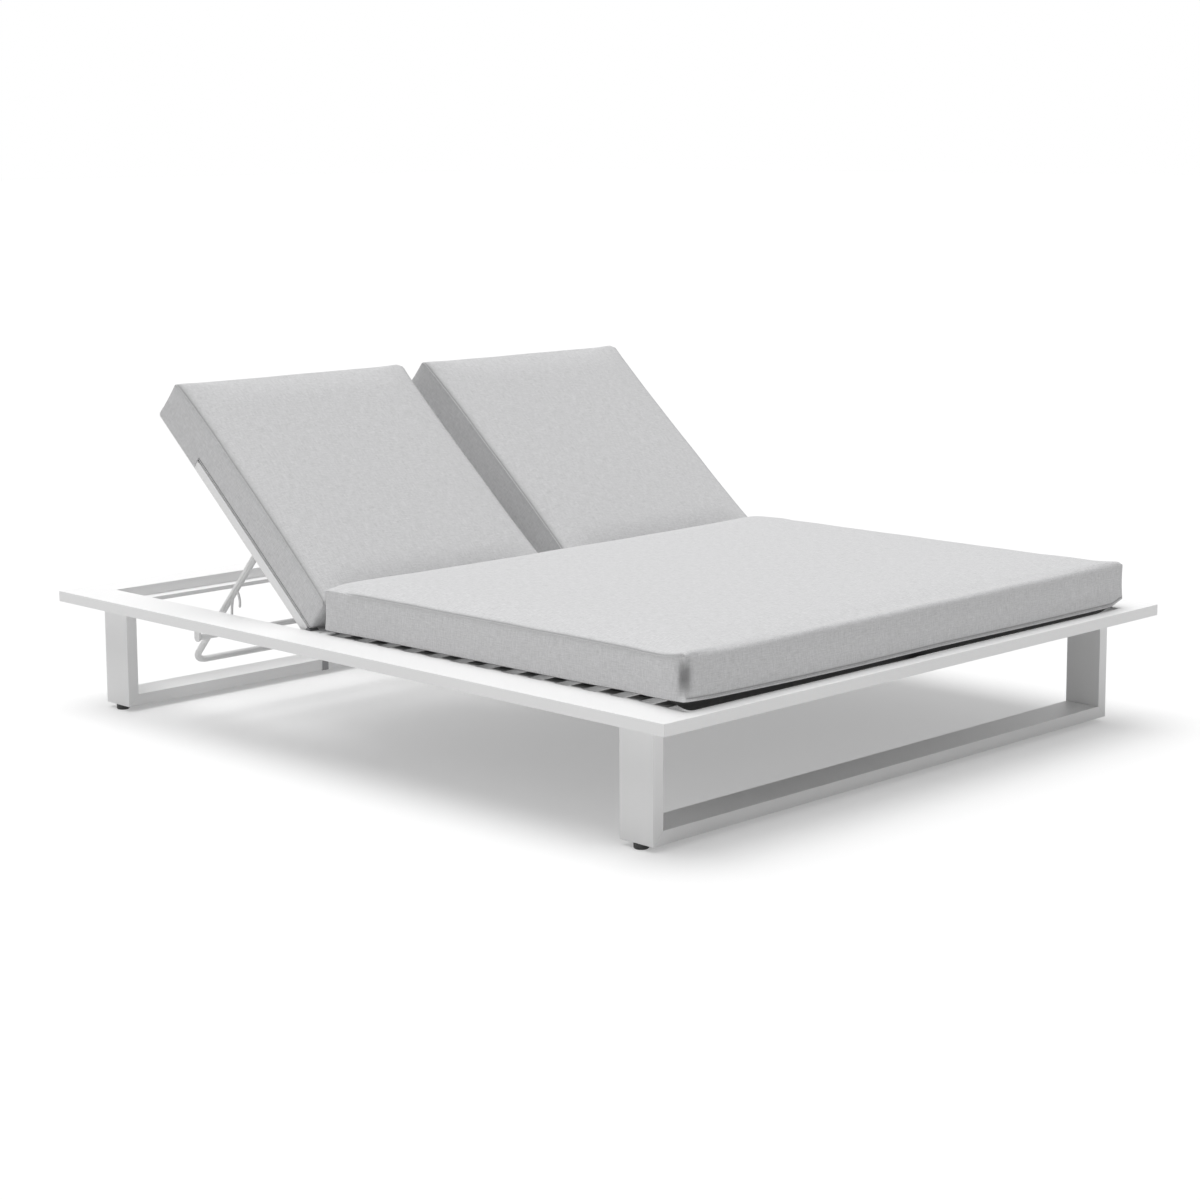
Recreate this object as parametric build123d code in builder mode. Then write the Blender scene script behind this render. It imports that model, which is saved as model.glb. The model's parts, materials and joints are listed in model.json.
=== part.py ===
from build123d import *
import os
from math import asin, atan2, cos, hypot, radians, sin

os.makedirs("parts", exist_ok=True)

# Double chaise lounger, in millimetres. X runs across the width, Y along the length from the
# foot end to the head end, Z up. The origin is on the floor under the middle of the frame.

# Deck frame
length = 2000
width = 1656
deck_height = 280
rail_thickness = 25
rail_wall = 2.5
side_rail_width = 105
foot_rail_width = 37
head_rail_width = 86
ledge_width = 70
ledge_overlap = 37
ledge_thickness = 10

# Seat deck
slat_width = 39
slat_thickness = 12
slat_wall = 1.5
slat_pitch = 77.7
slat_drop = 1
slat_end_gap = 5.4
beam_width = 50
beam_wall = 2
seat_beam_height = 20
hinge_rail_size = 25
hinge_rail_gap = 3

# Sled legs
post_depth = 90
post_width = 28
leg_wall = 2
leg_side_inset = 66
leg_end_inset = 92
glide_radius = 15.5
glide_height = 12
glide_chamfer = 2
clip_from_centre = 163.5
clip_width = 19
clip_thickness = 1.5

# Backrest frames
hinge_from_head = 812
back_angle = 40.6
back_length = 698
back_tube_width = 25
back_tube_depth = 22
back_tube_wall = 2
back_frame_drop = 0.5
outer_hinge_gap = 7
inner_hinge_gap = 14
prop_rail_place = 272
prop_rail_width = 25
back_slats_below = 2
back_slats_above = 4
knuckle_tongue = 30
knuckle_reach = 14

# Backrest hinges
hinge_pin_radius = 5
hinge_pin_root = 4
hinge_pin_end_gap = 1
spacer_radius = 9
side_play = 0.3
pin_clearance = 0.05

# Props
arm_radius = 8
arm_wall = 1.5
arm_from_outer_face = 39
prop_length = 394
prop_bend = 35
prop_tail = 5
prop_pivot_drop = 12
clevis_base = 2
clevis_length = 20
clevis_ear = 3
clevis_gap = 1
clevis_ear_radius = 7
prop_pin_radius = 3
prop_pin_stick_out = 2
catch_bar_radius = 7
catch_bar_wall = 2
catch_bar_from_hinge = 396.6
catch_bar_below_hinge = 59.9
catch_bar_clearance = 0.5
hanger_thickness = 5
hanger_width = 20
hanger_side_inset = 1
hanger_beam_inset = 10
claw_thickness = 5
claw_width = 6
claw_drop = 38
claw_pitch = 46.8
claw_count = 4
claw_play = 0.8
claw_tip_clearance = 2.2

# Cushions
soft_clearance = 0.3
seat_side_gap = 7
seat_foot_overlap = 5
seat_end_gap = 66
seat_seam_height = 97
seat_crown = 14
back_cushion_inner = 33
back_cushion_outer_gap = 1
back_cushion_low_end = -1
back_cushion_high_end = 700
back_seam_height = 85
back_crown = 12
side_bulge = 5
base_inset = 30
side_draw_in = 8
end_draw_in = 12
low_corner_inset = 6
cushion_station_shares = (0, 0.12, 0.5, 0.88, 1)
cushion_crown_shares = (0.3, 0.8, 1, 0.8, 0.3)
hood_reach = 172
hood_thickness = 1.5

overrun = 20

# Places that follow from the sizes above
half_length = length / 2
half_width = width / 2
bay_half = half_width - side_rail_width
foot_face = foot_rail_width - half_length
head_face = half_length - head_rail_width
rail_bottom = deck_height - rail_thickness
slat_top = deck_height - slat_drop
slat_middle = slat_top - slat_thickness / 2
hinge_y = half_length - hinge_from_head
hinge_z = deck_height - back_frame_drop - back_tube_depth / 2
knuckle_radius = back_tube_depth / 2
hinge_rail_head = hinge_y - knuckle_radius - hinge_rail_gap
hinge_rail_foot = hinge_rail_head - hinge_rail_size
beam_half = beam_width / 2
leg_outer = half_width - leg_side_inset
leg_inner = leg_outer - post_width
sled_top = glide_height + post_width

outer_face = bay_half - outer_hinge_gap
inner_face = beam_half + inner_hinge_gap
outer_tube_x = outer_face - back_tube_width / 2
inner_tube_x = inner_face + back_tube_width / 2
inside_outer = outer_face - back_tube_width
inside_inner = inner_face + back_tube_width
inside_length = inside_outer - inside_inner
back_middle_x = (outer_face + inner_face) / 2
top_tube_place = back_length - back_tube_width / 2
back_bottom = -back_tube_depth / 2
back_top = back_tube_depth / 2

# The backrest's own frame: X across, Y up along the backrest from the hinge, Z out of its face
rise = radians(back_angle)
back = Plane(origin=(0, hinge_y, hinge_z), x_dir=(1, 0, 0), z_dir=(0, -sin(rise), cos(rise)))

# The prop's pivot and direction: its arm lies on the catch bar, behind the claw that holds it
pivot_depth = back_bottom - prop_pivot_drop
pivot = back.from_local_coords(Vector(0, prop_rail_place, pivot_depth))
catch_y = hinge_y + catch_bar_from_hinge
catch_z = hinge_z - catch_bar_below_hinge
reach_y = catch_y - pivot.Y
reach_z = catch_z - pivot.Z
reach = hypot(reach_y, reach_z)
arm_stand_off = arm_radius + catch_bar_radius + catch_bar_clearance
arm_angle = atan2(reach_z, reach_y) + asin(arm_stand_off / reach)
arm_dir = Vector(0, cos(arm_angle), sin(arm_angle))
arm_outer_x = outer_face - arm_from_outer_face
arm_inner_x = inner_face + arm_from_outer_face

# A claw hangs straight down at rest, so it leaves the arm at this angle
claw_angle = radians(90) + arm_angle
claw_hold_y = catch_y - catch_bar_radius - claw_play
held_claw_place = ((claw_hold_y - pivot.Y) - arm_radius * sin(arm_angle)) / cos(arm_angle)
claw_foot_z = pivot.Z + held_claw_place * sin(arm_angle) - arm_radius * cos(arm_angle)
held_claw_drop = claw_foot_z - catch_z - catch_bar_radius - claw_tip_clearance


def across(frame, x, y, z):
    """A plane square to the frame's X at a point of that frame, with its Y up."""
    return Plane(origin=frame.from_local_coords(Vector(x, y, z)), x_dir=frame.y_dir, z_dir=frame.x_dir)


def along(frame, x, y, z):
    """A plane square to the frame's Y at a point of that frame, looking back to the foot end."""
    return Plane(origin=frame.from_local_coords(Vector(x, y, z)), x_dir=frame.x_dir, z_dir=-frame.y_dir)


def tube_section(plane, section_width, section_height, wall):
    """The hollow rectangular section of a tube on a plane."""
    with BuildSketch(plane) as section:
        Rectangle(section_width, section_height)
        offset(amount=-wall, mode=Mode.SUBTRACT)
    return section.sketch


def ring_section(plane, radius, wall):
    """The hollow round section of a tube on a plane."""
    with BuildSketch(plane) as section:
        Circle(radius)
        Circle(radius - wall, mode=Mode.SUBTRACT)
    return section.sketch


def outline(plane, *points):
    """A straight-sided outline on a plane."""
    with BuildSketch(plane) as section:
        with BuildLine():
            Polyline(*points, close=True)
        make_face()
    return section.sketch


# Deck frame: four flat tubes, mitred from the outer to the inner corner
for side, sign in (("left", -1), ("right", 1)):
    with BuildPart() as side_rail:
        extrude(
            outline(
                Plane.XY.offset(rail_bottom),
                (sign * half_width, -half_length),
                (sign * bay_half, foot_face),
                (sign * bay_half, head_face),
                (sign * half_width, half_length),
            ),
            amount=rail_thickness,
            dir=(0, 0, 1),
        )
        with Locations((sign * (bay_half + half_width) / 2, 0, deck_height - rail_thickness / 2)):
            Box(
                side_rail_width - 2 * rail_wall,
                length,
                rail_thickness - 2 * rail_wall,
                mode=Mode.SUBTRACT,
            )
        with BuildSketch(across(Plane.XY, 0, hinge_y, hinge_z)):
            Circle(hinge_pin_radius)
        extrude(amount=sign * (bay_half + 2 * rail_wall), mode=Mode.SUBTRACT)
    side_rail.part.label = f"side_rail_{side}"
    export_step(side_rail.part, f"parts/side_rail_{side}.step")

for end, sign, inner_y, rail_width in (
    ("foot", -1, foot_face, foot_rail_width),
    ("head", 1, head_face, head_rail_width),
):
    with BuildPart() as end_rail:
        extrude(
            outline(
                Plane.XY.offset(rail_bottom),
                (-half_width, sign * half_length),
                (half_width, sign * half_length),
                (bay_half, inner_y),
                (-bay_half, inner_y),
            ),
            amount=rail_thickness,
            dir=(0, 0, 1),
        )
        with Locations((0, inner_y + sign * rail_width / 2, deck_height - rail_thickness / 2)):
            Box(
                width,
                rail_width - 2 * rail_wall,
                rail_thickness - 2 * rail_wall,
                mode=Mode.SUBTRACT,
            )
    end_rail.part.label = f"{end}_rail"
    export_step(end_rail.part, f"parts/{end}_rail.step")

# Ledge: a flat bar under the head rail, standing out into the bay
with BuildPart() as head_ledge:
    with BuildSketch(Plane.XY.offset(rail_bottom - ledge_thickness)):
        with Locations((0, head_face + ledge_overlap)):
            Rectangle(2 * bay_half, ledge_width, align=(Align.CENTER, Align.MAX))
    extrude(amount=ledge_thickness)
head_ledge.part.label = "head_ledge"
export_step(head_ledge.part, "parts/head_ledge.step")

# Seat deck: slats across the bay, the tube that ends it and the beam under it
seat_slat_reach = hinge_rail_foot - slat_end_gap - slat_width / 2
seat_slat_room = seat_slat_reach - slat_width / 2 - foot_face
seat_slat_count = int(seat_slat_room // slat_pitch) + 1
with BuildPart() as seat_slats:
    for index in range(seat_slat_count):
        slat_y = seat_slat_reach - index * slat_pitch
        extrude(
            tube_section(
                across(Plane.XY, -bay_half, slat_y, slat_middle), slat_width, slat_thickness, slat_wall
            ),
            amount=2 * bay_half,
        )
seat_slats.part.label = "seat_slats"
export_step(seat_slats.part, "parts/seat_slats.step")

with BuildPart() as hinge_rail:
    extrude(
        tube_section(
            across(
                Plane.XY,
                -bay_half,
                hinge_rail_head - hinge_rail_size / 2,
                slat_top - hinge_rail_size / 2,
            ),
            hinge_rail_size,
            hinge_rail_size,
            beam_wall,
        ),
        amount=2 * bay_half,
    )
hinge_rail.part.label = "hinge_rail"
export_step(hinge_rail.part, "parts/hinge_rail.step")

seat_beam_middle = slat_top - slat_thickness - seat_beam_height / 2
with BuildPart() as seat_centre_beam:
    extrude(
        tube_section(
            along(Plane.XY, 0, hinge_rail_foot, seat_beam_middle), beam_width, seat_beam_height, beam_wall
        ),
        amount=hinge_rail_foot - foot_face,
    )
seat_centre_beam.part.label = "seat_centre_beam"
export_step(seat_centre_beam.part, "parts/seat_centre_beam.step")

# Beam between the backrests: it rests on the ledge and carries the inner hinge pins
back_beam_height = slat_top - rail_bottom
with BuildPart() as back_centre_beam:
    extrude(
        tube_section(
            along(Plane.XY, 0, head_face, rail_bottom + back_beam_height / 2),
            beam_width,
            back_beam_height,
            beam_wall,
        ),
        amount=head_face - hinge_rail_head,
    )
    with BuildSketch(across(Plane.XY, -beam_width, hinge_y, hinge_z)):
        Circle(hinge_pin_radius)
    extrude(amount=2 * beam_width, mode=Mode.SUBTRACT)
back_centre_beam.part.label = "back_centre_beam"
export_step(back_centre_beam.part, "parts/back_centre_beam.step")

# Sled legs: two posts and a floor rail at each end, mitred at the bottom corners
for end, sign in (("foot", -1), ("head", 1)):
    leg_middle = sign * (half_length - leg_end_inset - post_depth / 2)
    leg_plane = along(Plane.XY, 0, leg_middle + post_depth / 2, 0)
    for side, hand in (("left", -1), ("right", 1)):
        with BuildPart() as post:
            extrude(
                outline(
                    leg_plane,
                    (hand * leg_outer, glide_height),
                    (hand * leg_inner, sled_top),
                    (hand * leg_inner, rail_bottom),
                    (hand * leg_outer, rail_bottom),
                ),
                amount=post_depth,
                dir=(0, -1, 0),
            )
            with Locations((hand * (leg_outer + leg_inner) / 2, leg_middle, deck_height / 2)):
                Box(
                    post_width - 2 * leg_wall,
                    post_depth - 2 * leg_wall,
                    deck_height,
                    mode=Mode.SUBTRACT,
                )
        post.part.label = f"{end}_post_{side}"
        export_step(post.part, f"parts/{end}_post_{side}.step")

    with BuildPart() as sled_rail:
        extrude(
            outline(
                leg_plane,
                (-leg_outer, glide_height),
                (leg_outer, glide_height),
                (leg_inner, sled_top),
                (-leg_inner, sled_top),
            ),
            amount=post_depth,
            dir=(0, -1, 0),
        )
        with Locations((0, leg_middle, glide_height + post_width / 2)):
            Box(width, post_depth - 2 * leg_wall, post_width - 2 * leg_wall, mode=Mode.SUBTRACT)
    sled_rail.part.label = f"{end}_sled_rail"
    export_step(sled_rail.part, f"parts/{end}_sled_rail.step")

# Glides under the sled rails, below the posts
glide_x = (leg_outer + leg_inner) / 2
glide_y = half_length - leg_end_inset - post_depth / 2
with BuildPart() as glides:
    for hand in (-1, 1):
        for sign in (-1, 1):
            with BuildSketch(Plane.XY):
                with Locations((hand * glide_x, sign * glide_y)):
                    Circle(glide_radius)
    extrude(amount=glide_height)
    chamfer(glides.faces().sort_by(Axis.Z)[:4].edges(), length=glide_chamfer)
glides.part.label = "glides"
export_step(glides.part, "parts/glides.step")

# Moulded clip wrapped round the head sled rail
with BuildPart() as sled_clip:
    clip_start = -clip_from_centre - clip_width / 2
    with BuildSketch(across(Plane.XY, clip_start, glide_y, sled_top - post_width / 2)):
        Rectangle(post_depth + 2 * clip_thickness, post_width + 2 * clip_thickness)
        Rectangle(post_depth, post_width, mode=Mode.SUBTRACT)
    extrude(amount=clip_width)
sled_clip.part.label = "sled_clip"
export_step(sled_clip.part, "parts/sled_clip.step")

# Catch bars and the plates that hang them from the side rails and the centre beam
hanger_outer_x = bay_half + hanger_side_inset
hanger_inner_x = beam_half - hanger_beam_inset
for side, sign in (("left", -1), ("right", 1)):
    with BuildPart() as catch_bar:
        extrude(
            ring_section(
                across(Plane.XY, sign * hanger_inner_x, catch_y, catch_z), catch_bar_radius, catch_bar_wall
            ),
            amount=sign * (hanger_outer_x - hanger_inner_x),
            dir=(1, 0, 0),
        )
    catch_bar.part.label = f"catch_bar_{side}"
    export_step(catch_bar.part, f"parts/catch_bar_{side}.step")

with BuildPart() as catch_hangers:
    for sign in (-1, 1):
        for hanger_x, outward in ((hanger_outer_x, sign), (hanger_inner_x, -sign)):
            with BuildSketch(across(Plane.XY, sign * hanger_x, catch_y, catch_z)):
                Circle(hanger_width / 2)
                Rectangle(hanger_width, rail_bottom - catch_z, align=(Align.CENTER, Align.MIN))
            extrude(amount=outward * hanger_thickness)
catch_hangers.part.label = "catch_hangers"
export_step(catch_hangers.part, "parts/catch_hangers.step")

# Hinge pins: one in each side rail's inner wall, one each side of the centre beam
with BuildPart() as hinge_pins:
    for sign in (-1, 1):
        for pin_root, pin_end in (
            (bay_half + hinge_pin_root, inside_outer + hinge_pin_end_gap),
            (beam_half - hinge_pin_root, inside_inner - hinge_pin_end_gap),
        ):
            with BuildSketch(across(Plane.XY, sign * pin_root, hinge_y, hinge_z)):
                Circle(hinge_pin_radius)
            extrude(amount=sign * (pin_end - pin_root))
hinge_pins.part.label = "hinge_pins"
export_step(hinge_pins.part, "parts/hinge_pins.step")

with BuildPart() as hinge_spacers:
    for sign in (-1, 1):
        for spacer_root, spacer_end in (
            (bay_half, outer_face + side_play),
            (beam_half, inner_face - side_play),
        ):
            extrude(
                ring_section(
                    across(Plane.XY, sign * spacer_root, hinge_y, hinge_z),
                    spacer_radius,
                    spacer_radius - hinge_pin_radius,
                ),
                amount=sign * (spacer_end - spacer_root),
                dir=(1, 0, 0),
            )
hinge_spacers.part.label = "hinge_spacers"
export_step(hinge_spacers.part, "parts/hinge_spacers.step")


# Cushions: a crowned top over sides that swell and are drawn in at the base, trimmed by ends
# that swell and are drawn in the same way
def cushion_body(frame, middle, half, low, high, base, seam, crown):
    """Sections square to the length: base line, side arc, crown arc, side arc."""
    sections = []
    swell_height = (base + seam) / 2
    for share, crown_share in zip(cushion_station_shares, cushion_crown_shares):
        reach_out = half - side_draw_in * 4 * share * (1 - share)
        foot = reach_out - base_inset
        with BuildSketch(along(frame, middle, low + share * (high - low), 0)) as section:
            with BuildLine():
                Line((-foot, base), (foot, base))
                ThreePointArc((foot, base), (reach_out + side_bulge, swell_height), (reach_out, seam))
                ThreePointArc((reach_out, seam), (0, seam + crown * crown_share), (-reach_out, seam))
                ThreePointArc((-reach_out, seam), (-reach_out - side_bulge, swell_height), (-foot, base))
            make_face()
        sections.append(section.sketch)
    return sections


def cushion_ends(frame, middle, half, low, high, base, seam, crown, corner):
    """Sections square to the width that trim both ends; corner pulls the low end's seam back."""
    sections = []
    swell_height = (base + seam) / 2
    roof = seam + crown + overrun
    for share in (-1, 0, 1):
        draw = end_draw_in * (1 - abs(share))
        start = low + draw
        stop = high - draw
        with BuildSketch(across(frame, middle + share * (half + overrun), 0, 0)) as section:
            with BuildLine():
                Polyline(
                    (start + base_inset, base),
                    (start + base_inset, base - overrun),
                    (stop - base_inset, base - overrun),
                    (stop - base_inset, base),
                )
                ThreePointArc((stop - base_inset, base), (stop + side_bulge, swell_height), (stop, seam))
                Polyline((stop, seam), (stop, roof), (start + corner, roof), (start + corner, seam))
                ThreePointArc(
                    (start + corner, seam),
                    (start - side_bulge + corner / 2, swell_height),
                    (start + base_inset, base),
                )
            make_face()
        sections.append(section.sketch)
    return sections


seat_half_width = bay_half - seat_side_gap
seat_low = foot_face - seat_foot_overlap
seat_high = hinge_y - seat_end_gap
seat_base = slat_top + soft_clearance
seat_seam = seat_base + seat_seam_height
with BuildPart() as seat_cushion:
    loft(
        cushion_body(Plane.XY, 0, seat_half_width, seat_low, seat_high, seat_base, seat_seam, seat_crown)
    )
    loft(
        cushion_ends(Plane.XY, 0, seat_half_width, seat_low, seat_high, seat_base, seat_seam, seat_crown, 0),
        mode=Mode.INTERSECT,
    )
seat_cushion.part.label = "seat_cushion"
export_step(seat_cushion.part, "parts/seat_cushion.step")

# Backrests and their props, left and right
back_base = back_top + soft_clearance
back_seam = back_base + back_seam_height
back_outer = bay_half - back_cushion_outer_gap
cushion_middle = (back_outer + back_cushion_inner) / 2
cushion_half = (back_outer - back_cushion_inner) / 2 - side_bulge
hood_low = back_length + soft_clearance + hood_thickness - hood_reach
hood_gap = soft_clearance + hood_thickness

for side, sign in (("left", -1), ("right", 1)):
    for place, tube_x in (("outer", outer_tube_x), ("inner", inner_tube_x)):
        with BuildPart() as back_tube:
            extrude(
                tube_section(
                    along(back, sign * tube_x, back_length, 0),
                    back_tube_width,
                    back_tube_depth,
                    back_tube_wall,
                ),
                amount=back_length - knuckle_reach,
            )
        back_tube.part.label = f"back_tube_{place}_{side}"
        export_step(back_tube.part, f"parts/back_tube_{place}_{side}.step")

    # Cross tubes between the side tubes
    for cross_name, cross_place, cross_width in (
        ("back_bottom_tube", back_tube_width / 2, back_tube_width),
        ("prop_rail", prop_rail_place, prop_rail_width),
        ("back_top_tube", top_tube_place, back_tube_width),
    ):
        with BuildPart() as cross_tube:
            extrude(
                tube_section(
                    across(back, sign * inside_inner, cross_place, 0),
                    cross_width,
                    back_tube_depth,
                    back_tube_wall,
                ),
                amount=sign * inside_length,
                dir=(1, 0, 0),
            )
        cross_tube.part.label = f"{cross_name}_{side}"
        export_step(cross_tube.part, f"parts/{cross_name}_{side}.step")

    # Back slats at the seat's pitch, counted from the prop rail both ways
    with BuildPart() as back_slats:
        for step in (*range(-back_slats_below, 0), *range(1, back_slats_above + 1)):
            extrude(
                tube_section(
                    across(
                        back,
                        sign * inside_inner,
                        prop_rail_place + step * slat_pitch,
                        back_top - slat_thickness / 2,
                    ),
                    slat_width,
                    slat_thickness,
                    slat_wall,
                ),
                amount=sign * inside_length,
                dir=(1, 0, 0),
            )
    back_slats.part.label = f"back_slats_{side}"
    export_step(back_slats.part, f"parts/back_slats_{side}.step")

    # Moulded end plugs with the pin's bore, each with a tongue inside its side tube
    with BuildPart() as hinge_knuckles:
        for tube_x in (outer_tube_x, inner_tube_x):
            with BuildSketch(across(back, sign * tube_x - back_tube_width / 2, 0, 0)):
                Circle(knuckle_radius)
                Rectangle(knuckle_reach, back_tube_depth, align=(Align.MIN, Align.CENTER))
            extrude(amount=back_tube_width)
            with BuildSketch(along(back, sign * tube_x, knuckle_reach + knuckle_tongue, 0)):
                Rectangle(back_tube_width - 2 * back_tube_wall, back_tube_depth - 2 * back_tube_wall)
            extrude(amount=knuckle_tongue)
            with BuildSketch(across(back, sign * tube_x - back_tube_width / 2, 0, 0)):
                Circle(hinge_pin_radius + pin_clearance)
            extrude(amount=back_tube_width, mode=Mode.SUBTRACT)
    hinge_knuckles.part.label = f"hinge_knuckles_{side}"
    export_step(hinge_knuckles.part, f"parts/hinge_knuckles_{side}.step")

    # Clevises on the back of the prop rail: a base plate and two ears round each prop pin
    ear_inside = arm_radius + clevis_gap
    ear_outside = ear_inside + clevis_ear
    with BuildPart() as prop_clevises:
        for arm_x in (arm_outer_x, arm_inner_x):
            with BuildSketch(across(back, sign * arm_x - ear_outside, prop_rail_place, back_bottom)):
                Rectangle(clevis_length, clevis_base, align=(Align.CENTER, Align.MAX))
            extrude(amount=2 * ear_outside)
            for ear_x in (sign * arm_x - ear_outside, sign * arm_x + ear_inside):
                with BuildSketch(across(back, ear_x, prop_rail_place, pivot_depth)):
                    Circle(clevis_ear_radius)
                    Rectangle(2 * clevis_ear_radius, prop_pivot_drop, align=(Align.CENTER, Align.MIN))
                    Circle(prop_pin_radius, mode=Mode.SUBTRACT)
                extrude(amount=clevis_ear)
    prop_clevises.part.label = f"prop_clevises_{side}"
    export_step(prop_clevises.part, f"parts/prop_clevises_{side}.step")

    pin_half = ear_outside + prop_pin_stick_out
    with BuildPart() as prop_pins:
        for arm_x in (arm_outer_x, arm_inner_x):
            with BuildSketch(across(back, sign * arm_x - pin_half, prop_rail_place, pivot_depth)):
                Circle(prop_pin_radius)
            extrude(amount=2 * pin_half)
    prop_pins.part.label = f"prop_pins_{side}"
    export_step(prop_pins.part, f"parts/prop_pins_{side}.step")

    with BuildPart() as back_cushion:
        loft(
            cushion_body(
                back,
                sign * cushion_middle,
                cushion_half,
                back_cushion_low_end,
                back_cushion_high_end,
                back_base,
                back_seam,
                back_crown,
            )
        )
        loft(
            cushion_ends(
                back,
                sign * cushion_middle,
                cushion_half,
                back_cushion_low_end,
                back_cushion_high_end,
                back_base,
                back_seam,
                back_crown,
                low_corner_inset,
            ),
            mode=Mode.INTERSECT,
        )
    back_cushion.part.label = f"back_cushion_{side}"
    export_step(back_cushion.part, f"parts/back_cushion_{side}.step")

    # Fabric hood of the cushion, a tray slipped over the head end of the frame
    hood_width = outer_face - inner_face + 2 * hood_gap
    hood_start = sign * back_middle_x - hood_width / 2
    with BuildPart() as back_hood:
        with BuildSketch(across(back, hood_start, back_length + hood_gap, back_base)):
            Rectangle(hood_reach, back_tube_depth + soft_clearance + hood_gap, align=(Align.MAX, Align.MAX))
        extrude(amount=hood_width)
        with BuildSketch(
            across(back, hood_start + hood_thickness, back_length + soft_clearance, back_base)
        ):
            Rectangle(hood_reach, back_tube_depth + 2 * soft_clearance, align=(Align.MAX, Align.MAX))
        extrude(amount=hood_width - 2 * hood_thickness, mode=Mode.SUBTRACT)
    back_hood.part.label = f"back_hood_{side}"
    export_step(back_hood.part, f"parts/back_hood_{side}.step")

    # Prop hoop: two arms and the cross tube between them, with bores for the prop pins
    hoop_half = (arm_outer_x - arm_inner_x) / 2
    hoop_plane = Plane(
        origin=pivot + Vector(sign * back_middle_x, 0, 0),
        x_dir=(1, 0, 0),
        z_dir=Vector(1, 0, 0).cross(arm_dir),
    )
    with BuildPart() as prop_hoop:
        with BuildLine(hoop_plane) as hoop_path:
            FilletPolyline(
                (-hoop_half, -prop_tail),
                (-hoop_half, prop_length),
                (hoop_half, prop_length),
                (hoop_half, -prop_tail),
                radius=prop_bend,
            )
        with BuildSketch(Plane(origin=hoop_path.line @ 0, z_dir=hoop_path.line % 0)):
            Circle(arm_radius)
            Circle(arm_radius - arm_wall, mode=Mode.SUBTRACT)
        sweep()
        with BuildSketch(
            Plane(origin=pivot + Vector(sign * back_middle_x - hoop_half - overrun, 0, 0), z_dir=(1, 0, 0))
        ):
            Circle(prop_pin_radius + pin_clearance)
        extrude(amount=2 * (hoop_half + overrun), mode=Mode.SUBTRACT)
    prop_hoop.part.label = f"prop_hoop_{side}"
    export_step(prop_hoop.part, f"parts/prop_hoop_{side}.step")

    # Claws: plates welded along the under side of each arm; the one that holds the bar at rest
    # ends just above it
    finger = Vector(cos(claw_angle), sin(claw_angle))
    finger_side = Vector(-sin(claw_angle), cos(claw_angle)) * claw_width
    with BuildPart() as claws:
        for arm_x in (arm_outer_x, arm_inner_x):
            claw_plane = Plane(
                origin=pivot + Vector(sign * arm_x + claw_thickness / 2, 0, 0),
                x_dir=arm_dir,
                z_dir=(-1, 0, 0),
            )
            for index in range(claw_count):
                drop = claw_drop if index else held_claw_drop
                foot = Vector(held_claw_place - index * claw_pitch, arm_radius)
                root = foot - finger * (arm_radius / finger.Y)
                tip = foot + finger * drop
                with BuildSketch(claw_plane):
                    with BuildLine():
                        Polyline(root, tip, tip + finger_side, root + finger_side, close=True)
                    make_face()
                extrude(amount=claw_thickness)
            with BuildSketch(Plane(origin=pivot + Vector(sign * arm_x, 0, 0), z_dir=arm_dir)):
                Circle(arm_radius)
            extrude(amount=prop_length, mode=Mode.SUBTRACT)
    claws.part.label = f"claws_{side}"
    export_step(claws.part, f"parts/claws_{side}.step")
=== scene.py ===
import json
import math

import bmesh
import bpy
import numpy as np
from mathutils import Matrix, Vector
from mathutils.bvhtree import BVHTree
from mathutils.kdtree import KDTree


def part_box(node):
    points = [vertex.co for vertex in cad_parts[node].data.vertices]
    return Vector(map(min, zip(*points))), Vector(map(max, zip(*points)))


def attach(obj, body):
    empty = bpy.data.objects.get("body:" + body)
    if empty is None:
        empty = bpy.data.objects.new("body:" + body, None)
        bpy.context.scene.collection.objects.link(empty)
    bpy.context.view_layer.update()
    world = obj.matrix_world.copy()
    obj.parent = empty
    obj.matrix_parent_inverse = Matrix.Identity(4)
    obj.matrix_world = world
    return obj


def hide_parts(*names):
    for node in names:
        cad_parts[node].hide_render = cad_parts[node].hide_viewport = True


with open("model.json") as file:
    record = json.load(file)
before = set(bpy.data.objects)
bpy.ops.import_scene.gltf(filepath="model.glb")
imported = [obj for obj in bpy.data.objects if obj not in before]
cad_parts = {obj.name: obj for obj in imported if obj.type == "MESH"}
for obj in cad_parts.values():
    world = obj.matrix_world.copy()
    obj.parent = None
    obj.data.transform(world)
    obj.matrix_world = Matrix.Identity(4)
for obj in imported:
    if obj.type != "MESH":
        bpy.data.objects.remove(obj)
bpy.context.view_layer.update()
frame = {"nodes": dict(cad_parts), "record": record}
nodes = frame["nodes"]
scene = bpy.context.scene
SIDES = ("left", "right")
TINY = 1e-9

# Camera, fitted to the photograph's straight edges, in metres and degrees
PHOTO_SIZE = 1200
FOCAL_PIXELS = 2538.3
SENSOR_MM = 36
CAMERA_PLACE = (-4.1611, -4.1543, 1.3673)
CAMERA_AZIMUTH = -45.114
CAMERA_PITCH = 8.277
CAMERA_ROLL = -0.255
CENTRE_ROW = 500


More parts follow.
